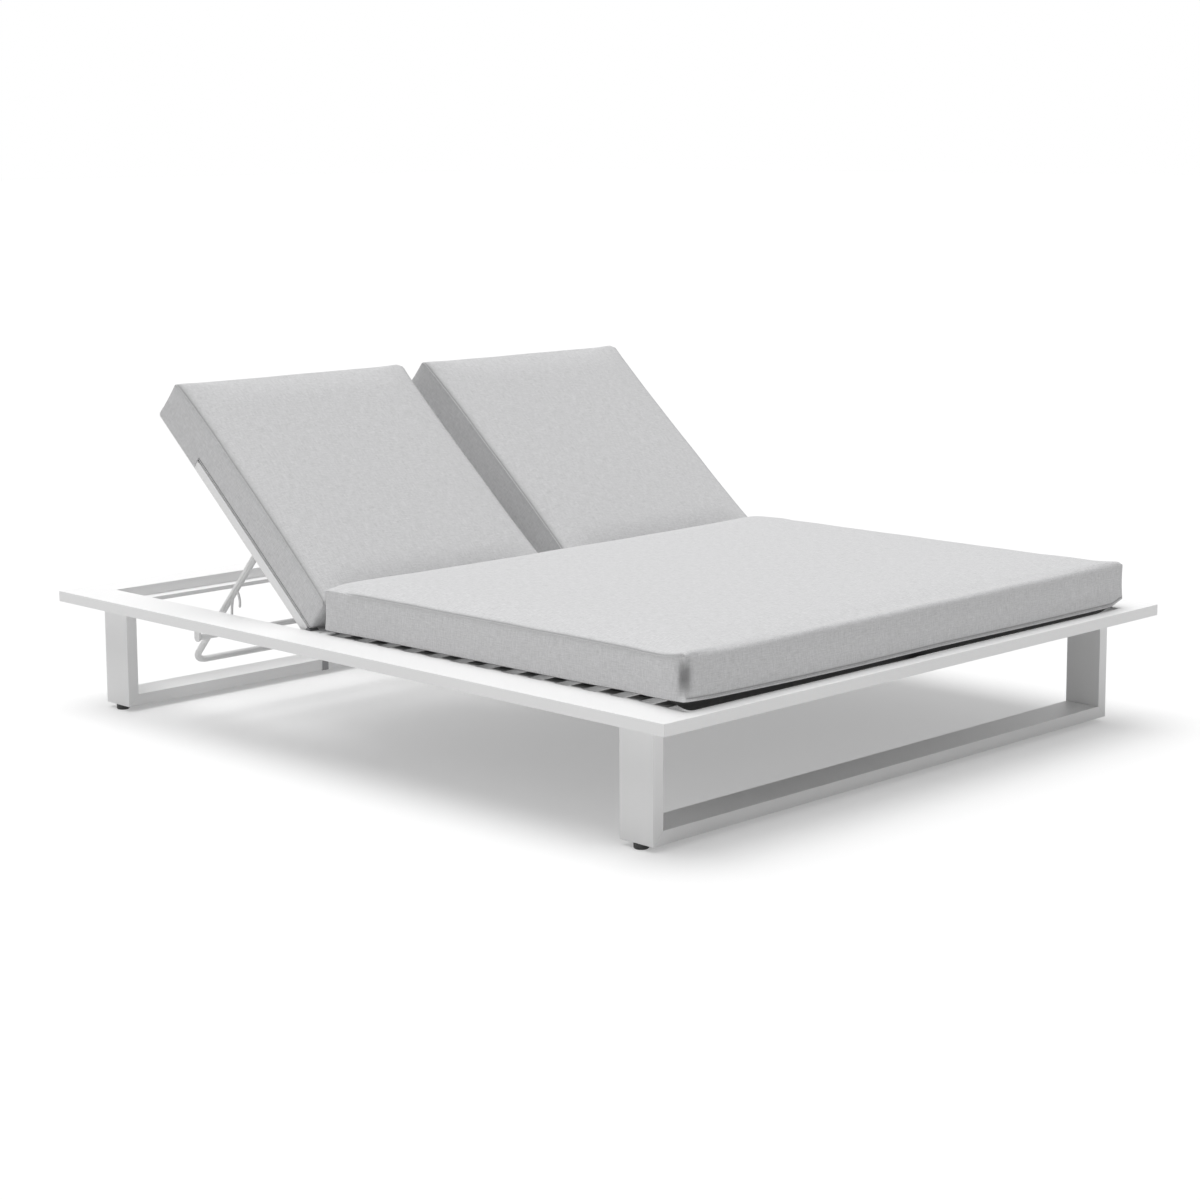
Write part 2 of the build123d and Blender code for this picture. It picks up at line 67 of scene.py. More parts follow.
def make_camera():
    data = bpy.data.cameras.new("photo_camera")
    data.sensor_width = SENSOR_MM
    data.lens = FOCAL_PIXELS / PHOTO_SIZE * SENSOR_MM
    data.shift_y = (CENTRE_ROW - PHOTO_SIZE / 2) / PHOTO_SIZE
    camera = bpy.data.objects.new("photo_camera", data)
    turn = Matrix.Rotation(math.radians(CAMERA_AZIMUTH), 4, "Z")
    tilt = Matrix.Rotation(math.radians(90 - CAMERA_PITCH), 4, "X")
    roll = Matrix.Rotation(math.radians(CAMERA_ROLL), 4, "Z")
    camera.matrix_world = Matrix.Translation(CAMERA_PLACE) @ turn @ tilt @ roll
    scene.collection.objects.link(camera)
    scene.camera = camera


def tint(colour, factor=1.0):
    """A colour made lighter or darker by a factor, with its fourth channel."""
    return (*(min(1.0, c * factor) for c in colour), 1.0)


class Nodes:
    """A node tree with short calls for adding and linking nodes."""

    def __init__(self, tree):
        self.tree = tree

    def feed(self, socket, value):
        """Links a socket to another node's output, or gives it a plain value."""
        if hasattr(value, "is_output"):
            self.tree.links.new(value, socket)
        else:
            socket.default_value = value

    def add(self, kind, inputs=None, **settings):
        node = self.tree.nodes.new(kind)
        for key, value in settings.items():
            setattr(node, key, value)
        for key, value in (inputs or {}).items():
            self.feed(node.inputs[key], value)
        return node

    def math(self, operation, a, b=0.0, c=0.0):
        return self.add("ShaderNodeMath", {0: a, 1: b, 2: c}, operation=operation).outputs[0]

    def noise(self, vector, scale, detail):
        inputs = {"Vector": vector, "Scale": scale, "Detail": detail}
        return self.add("ShaderNodeTexNoise", inputs).outputs[0]

    def mix(self, share, low, high):
        """The colour at a share of the way from low to high."""
        inputs = {0: share, 6: low, 7: high}
        return self.add("ShaderNodeMix", inputs, data_type="RGBA").outputs[2]

    def seen(self):
        """1 for a ray from the eye, a mirror or glass, and 0 for one that only carries light."""
        path = self.add("ShaderNodeLightPath").outputs
        by_eye = self.math("MAXIMUM", path["Is Camera Ray"], path["Is Glossy Ray"])
        return self.math("MAXIMUM", by_eye, path["Is Transmission Ray"])


class Material(Nodes):
    """A new material, whose shader takes its values by their sockets' names."""

    def __init__(self, name):
        self.material = bpy.data.materials.new(name)
        self.material.use_nodes = True
        super().__init__(self.material.node_tree)
        self.shader = self.tree.nodes["Principled BSDF"]

    def place(self):
        """A point's place in its object's own frame."""
        return self.add("ShaderNodeTexCoord").outputs["Object"]

    def set(self, values):
        for socket, value in values.items():
            self.feed(self.shader.inputs[socket], value)

    def bump(self, height, strength, distance):
        inputs = {"Strength": strength, "Distance": distance, "Height": height}
        self.set({"Normal": self.add("ShaderNodeBump", inputs).outputs[0]})


def powder_coat(name, colour, roughness):
    """Fine-textured powder coat: a close orange-peel grain and a little uneven gloss."""
    made = Material(name)
    place = made.place()
    grain = made.noise(place, scale=1400.0, detail=3.0)
    broad = made.noise(place, scale=5.0, detail=4.0)
    made.set({
        "Base Color": made.mix(broad, tint(colour, 0.975), tint(colour, 1.015)),
        "Roughness": made.math("MULTIPLY_ADD", grain, 0.12, roughness - 0.06),
        "Specular IOR Level": 0.7,
    })
    made.bump(grain, strength=0.6, distance=0.00004)
    return made.material


def moulded(name, colour, roughness):
    """Moulded plastic with a fine spark texture."""
    made = Material(name)
    grain = made.noise(made.place(), scale=900.0, detail=2.0)
    made.set({
        "Base Color": made.mix(grain, tint(colour, 0.9), tint(colour, 1.1)),
        "Roughness": made.math("MULTIPLY_ADD", grain, 0.15, roughness - 0.07),
    })
    made.bump(grain, strength=0.5, distance=0.00006)
    return made.material


def brushed(name, colour):
    """Plain turned steel with fine marks round the pin."""
    made = Material(name)
    inputs = {"Vector": made.place(), "Scale": (3000.0, 300.0, 300.0)}
    stretched = made.add("ShaderNodeMapping", inputs).outputs[0]
    marks = made.noise(stretched, scale=1.0, detail=2.0)
    made.set({
        "Base Color": tint(colour),
        "Metallic": 1.0,
        "Roughness": made.math("MULTIPLY_ADD", marks, 0.25, 0.22),
    })
    made.bump(marks, strength=0.3, distance=0.00002)
    return made.material


# The woven cloth: the pitch of its threads in metres, and the scales of its slubs and threads,
# first along them and then across them. A face looks along an axis where its normal's share of
# that axis is more than FACING
THREAD_PITCH = 0.0014
FACING = 0.7
SLUB_SCALES = (40, 420)
THREAD_SCALES = (110, 1300)


def woven_fabric(name, colour):
    """Plain-woven outdoor cloth: close threads both ways, uneven slubs and a heathered tone."""
    made = Material(name)
    coordinates = made.add("ShaderNodeTexCoord").outputs
    place = made.add("ShaderNodeSeparateXYZ", {0: coordinates["Object"]}).outputs
    facing = made.add("ShaderNodeSeparateXYZ", {0: coordinates["Normal"]}).outputs

    def in_face(axis):
        """The place along an axis, or along Y where the cloth faces along that axis."""
        along_it = made.math("GREATER_THAN", made.math("ABSOLUTE", facing[axis]), FACING)
        inputs = {0: along_it, 2: place[axis], 3: place[1]}
        return made.add("ShaderNodeMix", inputs, data_type="FLOAT").outputs[0]

    # The two directions that lie in the face: across and up the cloth
    across, up = in_face(0), in_face(2)

    def streaks(across_scale, up_scale):
        inputs = {
            0: made.math("MULTIPLY", across, across_scale),
            1: made.math("MULTIPLY", up, up_scale),
        }
        stretched = made.add("ShaderNodeCombineXYZ", inputs).outputs[0]
        return made.noise(stretched, scale=1.0, detail=2.0)

    def both_ways(along, beside):
        return made.math("ADD", streaks(along, beside), streaks(beside, along))

    turns = 2 * math.pi / THREAD_PITCH
    warp = made.math("SINE", made.math("MULTIPLY", across, turns))
    weft = made.math("SINE", made.math("MULTIPLY", up, turns))
    checks = made.math("MULTIPLY", warp, weft)
    slubs = both_ways(*SLUB_SCALES)
    threads = both_ways(*THREAD_SCALES)
    tone = made.math("MULTIPLY_ADD", slubs, 0.45, made.math("MULTIPLY", threads, 0.55))
    tone = made.math("MULTIPLY_ADD", checks, 0.08, tone)
    inputs = {"Value": tone, "From Min": 0.55, "From Max": 1.45}
    heather = made.add("ShaderNodeMapRange", inputs).outputs[0]
    heathered = made.mix(heather, tint(colour, 0.67), tint(colour, 1.33))
    # Painted shade: the cloth's colour is darkened where the mesh's attribute puts a seam's groove
    # or the near corner's dimple in shade
    seam = made.add("ShaderNodeAttribute", attribute_name="seam").outputs["Fac"]
    shade = made.math("MULTIPLY", made.math("MULTIPLY", seam, seam), 0.85)
    made.set({
        "Base Color": made.mix(shade, heathered, tint(colour, 0.30)),
        "Roughness": 0.9,
        "Specular IOR Level": 0.15,
        "Sheen Weight": 0.12,
        "Sheen Roughness": 0.5,
    })
    height = made.math("MULTIPLY_ADD", checks, 0.5, made.math("MULTIPLY", tone, 0.9))
    made.bump(height, strength=0.35, distance=0.0003)
    return made.material


def painted_shade_cloth(name, colour):
    """The cushion's underside: an open mesh that lets water out, near black as painted shade for
    the dark gaps under the seat.
    """
    made = Material(name)
    inputs = {"Vector": made.place(), "Scale": 420.0}
    holes = made.add("ShaderNodeTexVoronoi", inputs).outputs["Distance"]
    made.set({
        "Base Color": made.mix(holes, tint(colour), tint(colour, 2.2)),
        "Roughness": 0.85,
    })
    made.bump(holes, strength=0.5, distance=0.0004)
    return made.material


def sewing_thread(name, colour):
    """Twisted polyester thread."""
    made = Material(name)
    inputs = {"Vector": made.place(), "Scale": 900.0}
    twist = made.add("ShaderNodeTexWave", inputs, bands_direction="DIAGONAL").outputs[1]
    made.set({
        "Base Color": made.mix(twist, tint(colour, 0.8), tint(colour)),
        "Roughness": 0.6,
    })
    return made.material


WELD_REACH = 0.00001
EASED_WIDTH = 0.0008
EASED_ANGLE = 40


def repaint(node, material):
    """The node's own mesh with another material, its sharp edges eased."""
    piece = nodes[node]
    piece.data.materials.clear()
    piece.data.materials.append(material)
    weld = piece.modifiers.new("weld", "WELD")
    weld.merge_threshold = WELD_REACH
    ease = piece.modifiers.new("ease", "BEVEL")
    ease.width = EASED_WIDTH
    ease.segments = 2
    ease.limit_method = "ANGLE"
    ease.angle_limit = math.radians(EASED_ANGLE)
    ease.harden_normals = True


white_coat = powder_coat("white_powder_coat", (0.83, 0.83, 0.83), 0.45)
grey_nylon = moulded("grey_nylon", (0.30, 0.30, 0.31), 0.5)
dark_nylon = moulded("dark_nylon", (0.04, 0.04, 0.04), 0.55)
pin_steel = brushed("pin_steel", (0.62, 0.62, 0.63))
woven = woven_fabric("grey_woven_fabric", (0.605, 0.605, 0.611))
painted_shade_base = painted_shade_cloth("painted_shade_base_cloth", (0.008, 0.008, 0.008))
thread = sewing_thread("grey_thread", (0.42, 0.42, 0.43))
finishes = {
    "white_metal": white_coat,
    "grey_plastic": grey_nylon,
    "dark_plastic": dark_nylon,
    "steel": pin_steel,
}
for row in frame["record"]["subparts"]:
    if row["material_slot"] in finishes:
        repaint(row["node"], finishes[row["material_slot"]])


# Meshes built from loops, which lie close together at an edge or seam and a pitch apart between
def spread(length, low_steps, high_steps, pitch):
    """Loop places along a side: its own steps at each end, and even between them."""
    first, last = low_steps[-1], length - high_steps[-1]
    count = max(2, round((last - first) / pitch))
    middle = np.linspace(first, last, count + 1)
    high = [length - step for step in reversed(high_steps[:-1])]
    return np.concatenate([low_steps[:-1], middle, high])


def box_mesh(columns, rows, layers):
    """Lattice indices and outward quads of the surface of a box of loops."""
    seen = {}
    order = []

    def at(*key):
        if key not in seen:
            seen[key] = len(order)
            order.append(key)
        return seen[key]

    faces = []
    end, head, top = columns - 1, rows - 1, layers - 1
    for i in range(end):
        for j in range(head):
            low = (at(i, j, 0), at(i, j + 1, 0), at(i + 1, j + 1, 0), at(i + 1, j, 0))
            high = (at(i, j, top), at(i + 1, j, top), at(i + 1, j + 1, top), at(i, j + 1, top))
            faces += [low, high]
    for k in range(top):
        for j in range(head):
            left = (at(0, j, k), at(0, j, k + 1), at(0, j + 1, k + 1), at(0, j + 1, k))
            right = (at(end, j, k), at(end, j + 1, k), at(end, j + 1, k + 1), at(end, j, k + 1))
            faces += [left, right]
        for i in range(end):
            near = (at(i, 0, k), at(i + 1, 0, k), at(i + 1, 0, k + 1), at(i, 0, k + 1))
            far = (at(i, head, k), at(i, head, k + 1), at(i + 1, head, k + 1), at(i + 1, head, k))
            faces += [near, far]
    return np.array(order), faces


def tube_faces(start, rows, ring, flip=False):
    """Quads and caps of a tube made of rings of vertices, turned over by flip."""
    faces = []
    for row in range(rows - 1):
        for turn in range(ring):
            a = start + row * ring + turn
            b = start + row * ring + (turn + 1) % ring
            faces.append((a, a + ring, b + ring, b) if flip else (a, b, b + ring, a + ring))
    first = tuple(range(start, start + ring))
    last = tuple(n + (rows - 1) * ring for n in first)
    return faces + ([first, last[::-1]] if flip else [first[::-1], last])


def round_ends(points, size, axis, low, radius):
    """Rounds a box's edges at both ends of an axis, along its underside or its top."""
    middle = size[axis] / 2
    side = np.sign(points[:, axis] - middle)
    a = np.abs(points[:, axis] - middle) - (middle - radius)
    b = radius - points[:, 2] if low else points[:, 2] - (size[2] - radius)
    near = (a > TINY) & (b > TINY)
    scale = np.where(near, np.maximum(a, b) / np.maximum(np.hypot(a, b), TINY), 1.0)
    points[near, axis] = (middle + side * (middle - radius + a * scale))[near]
    turned = b * scale
    points[near, 2] = (radius - turned if low else size[2] - radius + turned)[near]


def round_corners(points, size, radii):
    """Rounds a box's upright edges by their radii: foot left, foot right, head left, head right."""
    middle = np.array(size[:2]) / 2
    offset = points[:, :2] - middle
    corner = (offset[:, 0] > 0) + 2 * (offset[:, 1] > 0)
    radius = np.array(radii)[corner][:, None]
    excess = np.abs(offset) - (middle - radius)
    near = (excess[:, 0] > TINY) & (excess[:, 1] > TINY)
    scale = excess.max(axis=1) / np.maximum(np.hypot(excess[:, 0], excess[:, 1]), TINY)
    turned = middle + np.sign(offset) * (middle - radius + excess * scale[:, None])
    points[near, :2] = turned[near]


def hump(share, power):
    """1 in the middle of a side and 0 at its ends, the flatter the higher the power."""
    return 1 - np.abs(2 * share - 1) ** power


def fade(distance, reach):
    """1 at a line and 0 from its reach onwards, with no kink at either end."""
    share = np.clip(distance / reach, 0, 1)
    return 1 - share**2 * (3 - 2 * share)


def bell(distance, reach, power=2):
    """1 at a line, a third at its reach and nearly 0 at twice its reach."""
    return np.exp(-((distance / reach) ** power))


def new_mesh_object(name, points, faces):
    mesh = bpy.data.meshes.new(name)
    places = [tuple(point) for point in points]
    mesh.from_pydata(places, [], [tuple(int(n) for n in face) for face in faces])
    mesh.validate()
    mesh.polygons.foreach_set("use_smooth", [True] * len(mesh.polygons))
    piece = bpy.data.objects.new(name, mesh)
    scene.collection.objects.link(piece)
    return piece


# Cushions: sizes in metres, in each cushion's own frame of U across, V along and W up
LOOP_PITCH = 0.015
WRAP_STEPS = (0.0, 0.002, 0.005, 0.0085, 0.012, 0.02)
SEAM_STEPS = (0.0, 0.004, 0.010, 0.018)
COVER_INSET = 0.002
WRAP_RADIUS = 0.012
BASE_RADIUS = 0.007

# The reaches and powers that a cover's shape is made with. A side's pull fades into the panels
# by FACE_POWER
FACE_POWER = 3
PULL_POWER = 4
PULL_AT_BASE = 0.35
OUT_REACH = 0.18
DOME_REACH = 0.14
DOME_POWER = 28
NEAR_REACH = 0.06
WAVE_REACH = 0.04
# Each seam's waves: two rates along it, the second one's slant, and where the first starts
WAVE_SHARES = (0.6, 0.4)
SIDE_WAVES = (23.0, 41.0, 3.0, 1.3)
END_WAVES = (19.0, 37.0, 2.0, 0.4)
# Between which shares of the height a corner seam sinks, and how square its sinking is
CREASE_LOW, CREASE_SPAN, CREASE_POWER = 0.06, 0.92, 0.6
DIMPLE_REACH, DIMPLE_POWER = 0.021, 4
EDGE_POWER = 8
SEWN_FADE = 0.02

# Where the seat's near-black base cloth hangs between the foot rail and the slats, as painted shade
# in that gap, and how far
GAP_START, GAP_STOP, GAP_DROP = 0.012, 0.0585, 0.010
GAP_MARGIN, GAP_EASE, GAP_POWER = 0.006, 0.04, 0.8

# Simulation, and how firmly the cover is held at its base, low seam, top seams and corners
SIM_FRAMES = 20
CLOTH = {
    "quality": 5,
    "mass": 0.3,
    "tension_stiffness": 25,
    "compression_stiffness": 25,
    "shear_stiffness": 8,
    "bending_stiffness": 2,
    "use_pressure": True,
    "uniform_pressure_force": 4,
}
HELD_BASE = (1.0, 0.8)
HELD_LOW_SEAM = 0.5
HELD_TOP_SEAM = 0.75
HELD_CORNER = 0.9

# The part of a channel that sinks: this share of its width from the seam's line
SUNK_SHARE = 0.72

# Stitches: the rings of one stitch, each by its place along it in lengths from the middle, its
# size in radii and its height in radii
THREAD_SIDES = 6
STITCH = (
    (-0.5, 0.35, -0.6),
    (-0.32, 0.85, 0.25),
    (0.0, 1.0, 0.55),
    (0.32, 0.85, 0.25),
    (0.5, 0.35, -0.6),
)
FOOT_STITCHES = {"pitch": 0.0046, "length": 0.0033, "radius": 0.0005}
HEM_STITCHES = {"pitch": 0.0042, "length": 0.0031, "radius": 0.0006}
STITCHES_BELOW = 0.0034
STITCHES_PROUD = 0.0002
STITCHES_MARGIN = 0.02


def shape_cushion(points, rest, size, look):
    """The cover's sewn shape: drawn-in sides, raised corners and creased corner seams.

    Returns the painted shade of each point: how much its colour is darkened in the near corner's
    dimple and along the top seams."""
    across, along, up = (rest[:, n] / size[n] for n in range(3))
    middle = np.array(size[:2]) / 2
    from_middle = rest[:, :2] - middle
    side = np.sign(from_middle)
    gap_u, gap_v = (middle - np.abs(from_middle)).T
    at_head = along > 0.5
    by_side, by_end = (np.abs(2 * share - 1) ** FACE_POWER for share in (across, along))
    # Sides pull in between the corners, most at the seams
    taper = PULL_AT_BASE + (1 - PULL_AT_BASE) * up
    points[:, 0] -= side[:, 0] * (look["side_pull"] * hump(along, PULL_POWER) * taper) * by_side
    points[:, 1] -= side[:, 1] * (look["end_pull"] * hump(across, PULL_POWER) * taper) * by_end
    # The corners stand out beyond the sides, and the top panel is domed between the side seams
    out = np.where(at_head, look["head_out"], look["foot_out"])
    points[:, 0] += side[:, 0] * out * fade(gap_v, OUT_REACH) * by_side
    end_dome = np.where(at_head, look["head_dome"], look["foot_dome"])
    dome = look["dome"] + (end_dome - look["dome"]) * fade(gap_v, DOME_REACH)
    points[:, 2] += dome * hump(across, DOME_POWER) * up
    # Foot corners have raised tips, the near one most, and head corners are softer and lower
    from_corner = np.hypot(gap_u, gap_v)
    near_corner = bell(np.hypot(rest[:, 0], rest[:, 1]), NEAR_REACH)
    tip = look["tip_rise"] * bell(from_corner, look["tip_reach"])
    dip = -look["head_dip"] * bell(from_corner, look["dip_reach"])
    points[:, 2] += np.where(at_head, dip, tip) * up**2
    points[:, 2] += look["near_rise"] * near_corner * up**2
    # Slow waves along the top seams, as the cover eases over the foam
    for run, beside, gap, waves in ((1, 0, gap_u, SIDE_WAVES), (0, 1, gap_v, END_WAVES)):
        slow, fast, slant, start = waves
        wave = np.sin(rest[:, run] * slow + start) * WAVE_SHARES[0]
        wave += np.sin(rest[:, run] * fast + rest[:, beside] * slant) * WAVE_SHARES[1]
        points[:, 2] += look["wave"] * wave * bell(gap, WAVE_REACH) * up**2
    # The corner seams sink, most at the near foot corner, which is dimpled in the photograph
    over_height = np.sin(np.pi * np.clip((up - CREASE_LOW) / CREASE_SPAN, 0, 1)) ** CREASE_POWER
    from_edge = np.maximum(gap_u, gap_v)
    depth = look["crease"] + (look["near_crease"] - look["crease"]) * near_corner
    crease = depth * over_height * bell(from_edge, look["crease_width"])
    points[:, :2] -= side * crease[:, None]
    # The base is a little crowned too, so the lower seam stands clear of the deck
    reach = look["base_reach"]
    foot_lift = np.interp(across, *np.transpose(look["foot_lift"]))
    side_lift = np.interp(rest[:, 1], *np.transpose(look["side_lift"]))
    from_side = np.minimum(gap_u, np.where(at_head, gap_v, np.inf))
    lift = np.maximum(foot_lift * fade(rest[:, 1], reach), side_lift * fade(from_side, reach))
    points[:, 2] += lift * (1 - up)
    # Painted shade darkens the colour in the dimple, and along the top seams as far as they are
    # sewn
    dimple_painted_shade = near_corner * over_height * bell(from_edge, DIMPLE_REACH, DIMPLE_POWER)
    sewn = np.clip((size[1] - look["seam_stop"] - rest[:, 1]) / SEWN_FADE + 1, 0, 1)
    edge = look["edge_shade"] * bell(gap_u, look["edge_width"]) * up**EDGE_POWER * sewn
    return np.maximum(look["dimple_shade"] * dimple_painted_shade, edge)


def hang_into_gap(points, rest, lattice):
    """The seat's near-black base cloth hangs a little into the gap between the foot rail and the
    slats, as painted shade that fills the gap.
    """
    share = np.clip((rest[:, 1] - GAP_START) / (GAP_STOP - GAP_START), 0, 1)
    gap_u = np.minimum(rest[:, 0], rest[:, 0].max() - rest[:, 0])
    inside = np.clip((gap_u - GAP_MARGIN) / GAP_EASE, 0, 1)
    hung = np.sin(np.pi * share) ** GAP_POWER * inside
    base = lattice[:, 2] == 0
    points[base, 2] = (points[:, 2] * (1 - hung) - GAP_DROP * hung)[base]


def inflate(piece, held, cap):
    """Swells a closed cover by cloth simulation under pressure, no point further than its cap."""
    mesh = piece.data
    start = np.empty(len(mesh.vertices) * 3)
    mesh.vertices.foreach_get("co", start)
    group = piece.vertex_groups.new(name="held")
    for index in np.flatnonzero(held):
        group.add([int(index)], float(held[index]), "REPLACE")
    cloth = piece.modifiers.new("cloth", "CLOTH")
    for setting, value in CLOTH.items():
        setattr(cloth.settings, setting, value)
    cloth.settings.vertex_group_mass = "held"
    cloth.settings.effector_weights.gravity = 0
    cloth.collision_settings.use_collision = False
    cloth.point_cache.frame_start = 1
    cloth.point_cache.frame_end = SIM_FRAMES
    for number in range(1, SIM_FRAMES + 1):
        scene.frame_set(number)
    graph = bpy.context.evaluated_depsgraph_get()
    swollen = piece.evaluated_get(graph).data
    moved = np.empty_like(start)
    swollen.vertices.foreach_get("co", moved)
    shift = (moved - start).reshape(-1, 3)
    travel = np.maximum(np.linalg.norm(shift, axis=1, keepdims=True), TINY)
    shift *= cap * np.tanh(travel / cap) / travel
    piece.modifiers.remove(cloth)
    piece.vertex_groups.clear()
    scene.frame_set(1)
    return start.reshape(-1, 3) + shift


def groove(mesh, seams):
    """Sews narrow channels along chains of vertices: bevels whose middle line sinks.

    A seam is its chain, its width, its depth and how much painted shade its lips take."""
    work = bmesh.new()
    work.from_mesh(mesh)
    work.verts.ensure_lookup_table()
    shade = work.verts.layers.float["seam"]
    rows = []
    for chain, width, depth, lips in seams:
        pairs = [(work.verts[a], work.verts[b]) for a, b in zip(chain, chain[1:])]
        found = dict.fromkeys(work.edges.get(pair) for pair in pairs)
        tree = KDTree(len(chain))
        for n, index in enumerate(chain):
            tree.insert(work.verts[index].co, n)
        tree.balance()
        rows.append(([edge for edge in found if edge is not None], tree, width, depth, lips))
    for edges, tree, width, depth, lips in rows:
        bevel = {"offset": width, "segments": 2, "profile": 0.5, "affect": "EDGES"}
        made = bmesh.ops.bevel(work, geom=edges, clamp_overlap=True, **bevel)["verts"]
        work.normal_update()
        sunk = [vert for vert in made if tree.find(vert.co)[2] < width * SUNK_SHARE]
        moves = [(vert, vert.co - vert.normal * depth) for vert in sunk]
        # Painted shade: the channel's new points are darkened in colour, its sunk middle line fully
        for vert in made:
            vert[shade] = max(vert[shade], lips)
        for vert, place in moves:
            vert.co = place
            vert[shade] = 1.0
    work.to_mesh(mesh)
    work.free()
    mesh.polygons.foreach_set("use_smooth", [True] * len(mesh.polygons))


def stitches(name, points, normals, pitch, length, radius):
    """A row of sewn stitches along a line on the cover, as one mesh of small threads."""
    steps = np.linalg.norm(np.diff(points, axis=0), axis=1)
    along = np.concatenate([[0], np.cumsum(steps)])

    def on_line(values, where):
        return np.array([np.interp(where, along, values[:, n]) for n in range(3)])

    verts, faces = [], []
    for number in range(int(along[-1] // pitch)):
        where = (number + 0.5) * pitch
        centre = on_line(points, where)
        ahead = on_line(points, where + 0.001) - centre
        ahead /= max(np.linalg.norm(ahead), TINY)
        normal = on_line(normals, where)
        normal -= ahead * normal.dot(ahead)
        normal /= max(np.linalg.norm(normal), TINY)
        beside = np.cross(normal, ahead)
        faces += tube_faces(len(verts), len(STITCH), THREAD_SIDES)
        for share, scale, height in STITCH:
            spot = centre + ahead * share * length + normal * height * radius
            for turn in range(THREAD_SIDES):
                angle = 2 * math.pi * turn / THREAD_SIDES
                out = beside * math.cos(angle) + normal * math.sin(angle)
                verts.append(spot + out * radius * scale)
    piece = new_mesh_object(name, verts, faces)
    piece.data.materials.append(thread)
    return piece


def make_cushion(name, place, low, size, look):
    """A sewn cushion with its cover swollen by cloth simulation, set at place."""
    us = spread(size[0], SEAM_STEPS, SEAM_STEPS, LOOP_PITCH)
    vs = spread(size[1], look["low_steps"], WRAP_STEPS, LOOP_PITCH)
    ws = spread(size[2], look["base_steps"], WRAP_STEPS, LOOP_PITCH)
    lattice, faces = box_mesh(len(us), len(vs), len(ws))
    rest = np.stack([us[lattice[:, 0]], vs[lattice[:, 1]], ws[lattice[:, 2]]], axis=1)
    points = rest.copy()
    round_ends(points, size, 1, False, WRAP_RADIUS)
    round_ends(points, size, 1, True, BASE_RADIUS)
    round_ends(points, size, 0, True, BASE_RADIUS)
    round_corners(points, size, look["corner_radii"])
    shade = shape_cushion(points, rest, size, look)
    if look["hangs"]:
        hang_into_gap(points, rest, lattice)
    points += np.array(low)
    piece = new_mesh_object(name, points, faces)

    last_u, last_v, last_w = len(us) - 1, len(vs) - 1, len(ws) - 1
    seam_row = look["seam_row"]
    at_side = (lattice[:, 0] == 0) | (lattice[:, 0] == last_u)
    at_end = (lattice[:, 1] == 0) | (lattice[:, 1] == last_v)
    at_top = lattice[:, 2] == last_w
    held = np.zeros(len(points))
    for row, weight in (*enumerate(HELD_BASE), (seam_row, HELD_LOW_SEAM)):
        on_row = lattice[:, 2] == row
        held[on_row] = np.maximum(held[on_row], weight)
    held[at_side & at_top] = HELD_TOP_SEAM
    held[at_side & at_end] = HELD_CORNER
    # A point may move the further, the further it is from the edges
    gap_u = np.minimum(rest[:, 0], size[0] - rest[:, 0])
    gap_v = np.minimum(rest[:, 1], size[1] - rest[:, 1])
    crown = (1 - fade(gap_u, look["cap_reach"])) * (1 - fade(gap_v, look["cap_reach"]))
    crown = np.where(at_top, crown, 0)
    cap = look["side_cap"] + (look["cap"] - look["side_cap"]) * crown
    points = inflate(piece, held, cap[:, None])
    piece.data.vertices.foreach_set("co", points.ravel())
    # The painted shade is stored as a point attribute that darkens the cloth's colour
    piece.data.attributes.new("seam", "FLOAT", "POINT").data.foreach_set("value", shade)

    number = {tuple(key): n for n, key in enumerate(lattice)}
    stop = min(int(np.searchsorted(vs, size[1] - look["seam_stop"])), last_v)
    seams = []
    for i in (0, last_u):
        seams.append(([number[i, j, last_w] for j in range(stop + 1)], *look["top_seam"]))
    foot = [number[i, 0, seam_row] for i in range(last_u + 1)]
    made = [piece]
    if look["stitched"]:
        seams.append((foot[1:-1], *look["low_seam"]))
        row = points[foot] - (0.0, STITCHES_PROUD, STITCHES_BELOW)
        from_end = np.minimum(row[:, 0] - row[0, 0], row[-1, 0] - row[:, 0])
        row = row[from_end > STITCHES_MARGIN]
        normals = np.tile((0.0, -1.0, 0.0), (len(row), 1))
        made.append(stitches(f"{name}_stitches", row, normals, **FOOT_STITCHES))
    else:
        # The lower seam runs all the way round
        foot += [number[last_u, j, seam_row] for j in range(1, last_v + 1)]
        foot += [number[i, last_v, seam_row] for i in reversed(range(last_u))]
        foot += [number[0, j, seam_row] for j in reversed(range(last_v))]
        seams.append((foot, *look["low_seam"]))

    piece.data.materials.append(woven)
    # Painted shade: the base's faces take the near-black cloth, so the gaps under the seat read
    # dark
    if look["painted_shade_underside"]:
        piece.data.materials.append(painted_shade_base)
        for face in piece.data.polygons:
            if (lattice[list(face.vertices), 2] == 0).all():
                face.material_index = 1
    groove(piece.data, seams)
    smooth = piece.modifiers.new("smooth", "SUBSURF")
    smooth.levels = smooth.render_levels = 1
    for one in made:
        one.matrix_world = place
    return made


# Stage: a white floor that keeps the shadow, a white world behind it and soft light
FLOOR_REACH = 60.0
FLOOR_COLOUR = 0.90
FLOOR_BOUNCE = 0.78
FLOOR_LIFT = 0.33
SKY_LIGHT = 0.38
SUN_FROM = (-0.09, 0.13, 0.98)
SUN_POWER = 2.5
SUN_SOFTNESS = 55
WHITE = (1.0, 1.0, 1.0, 1.0)


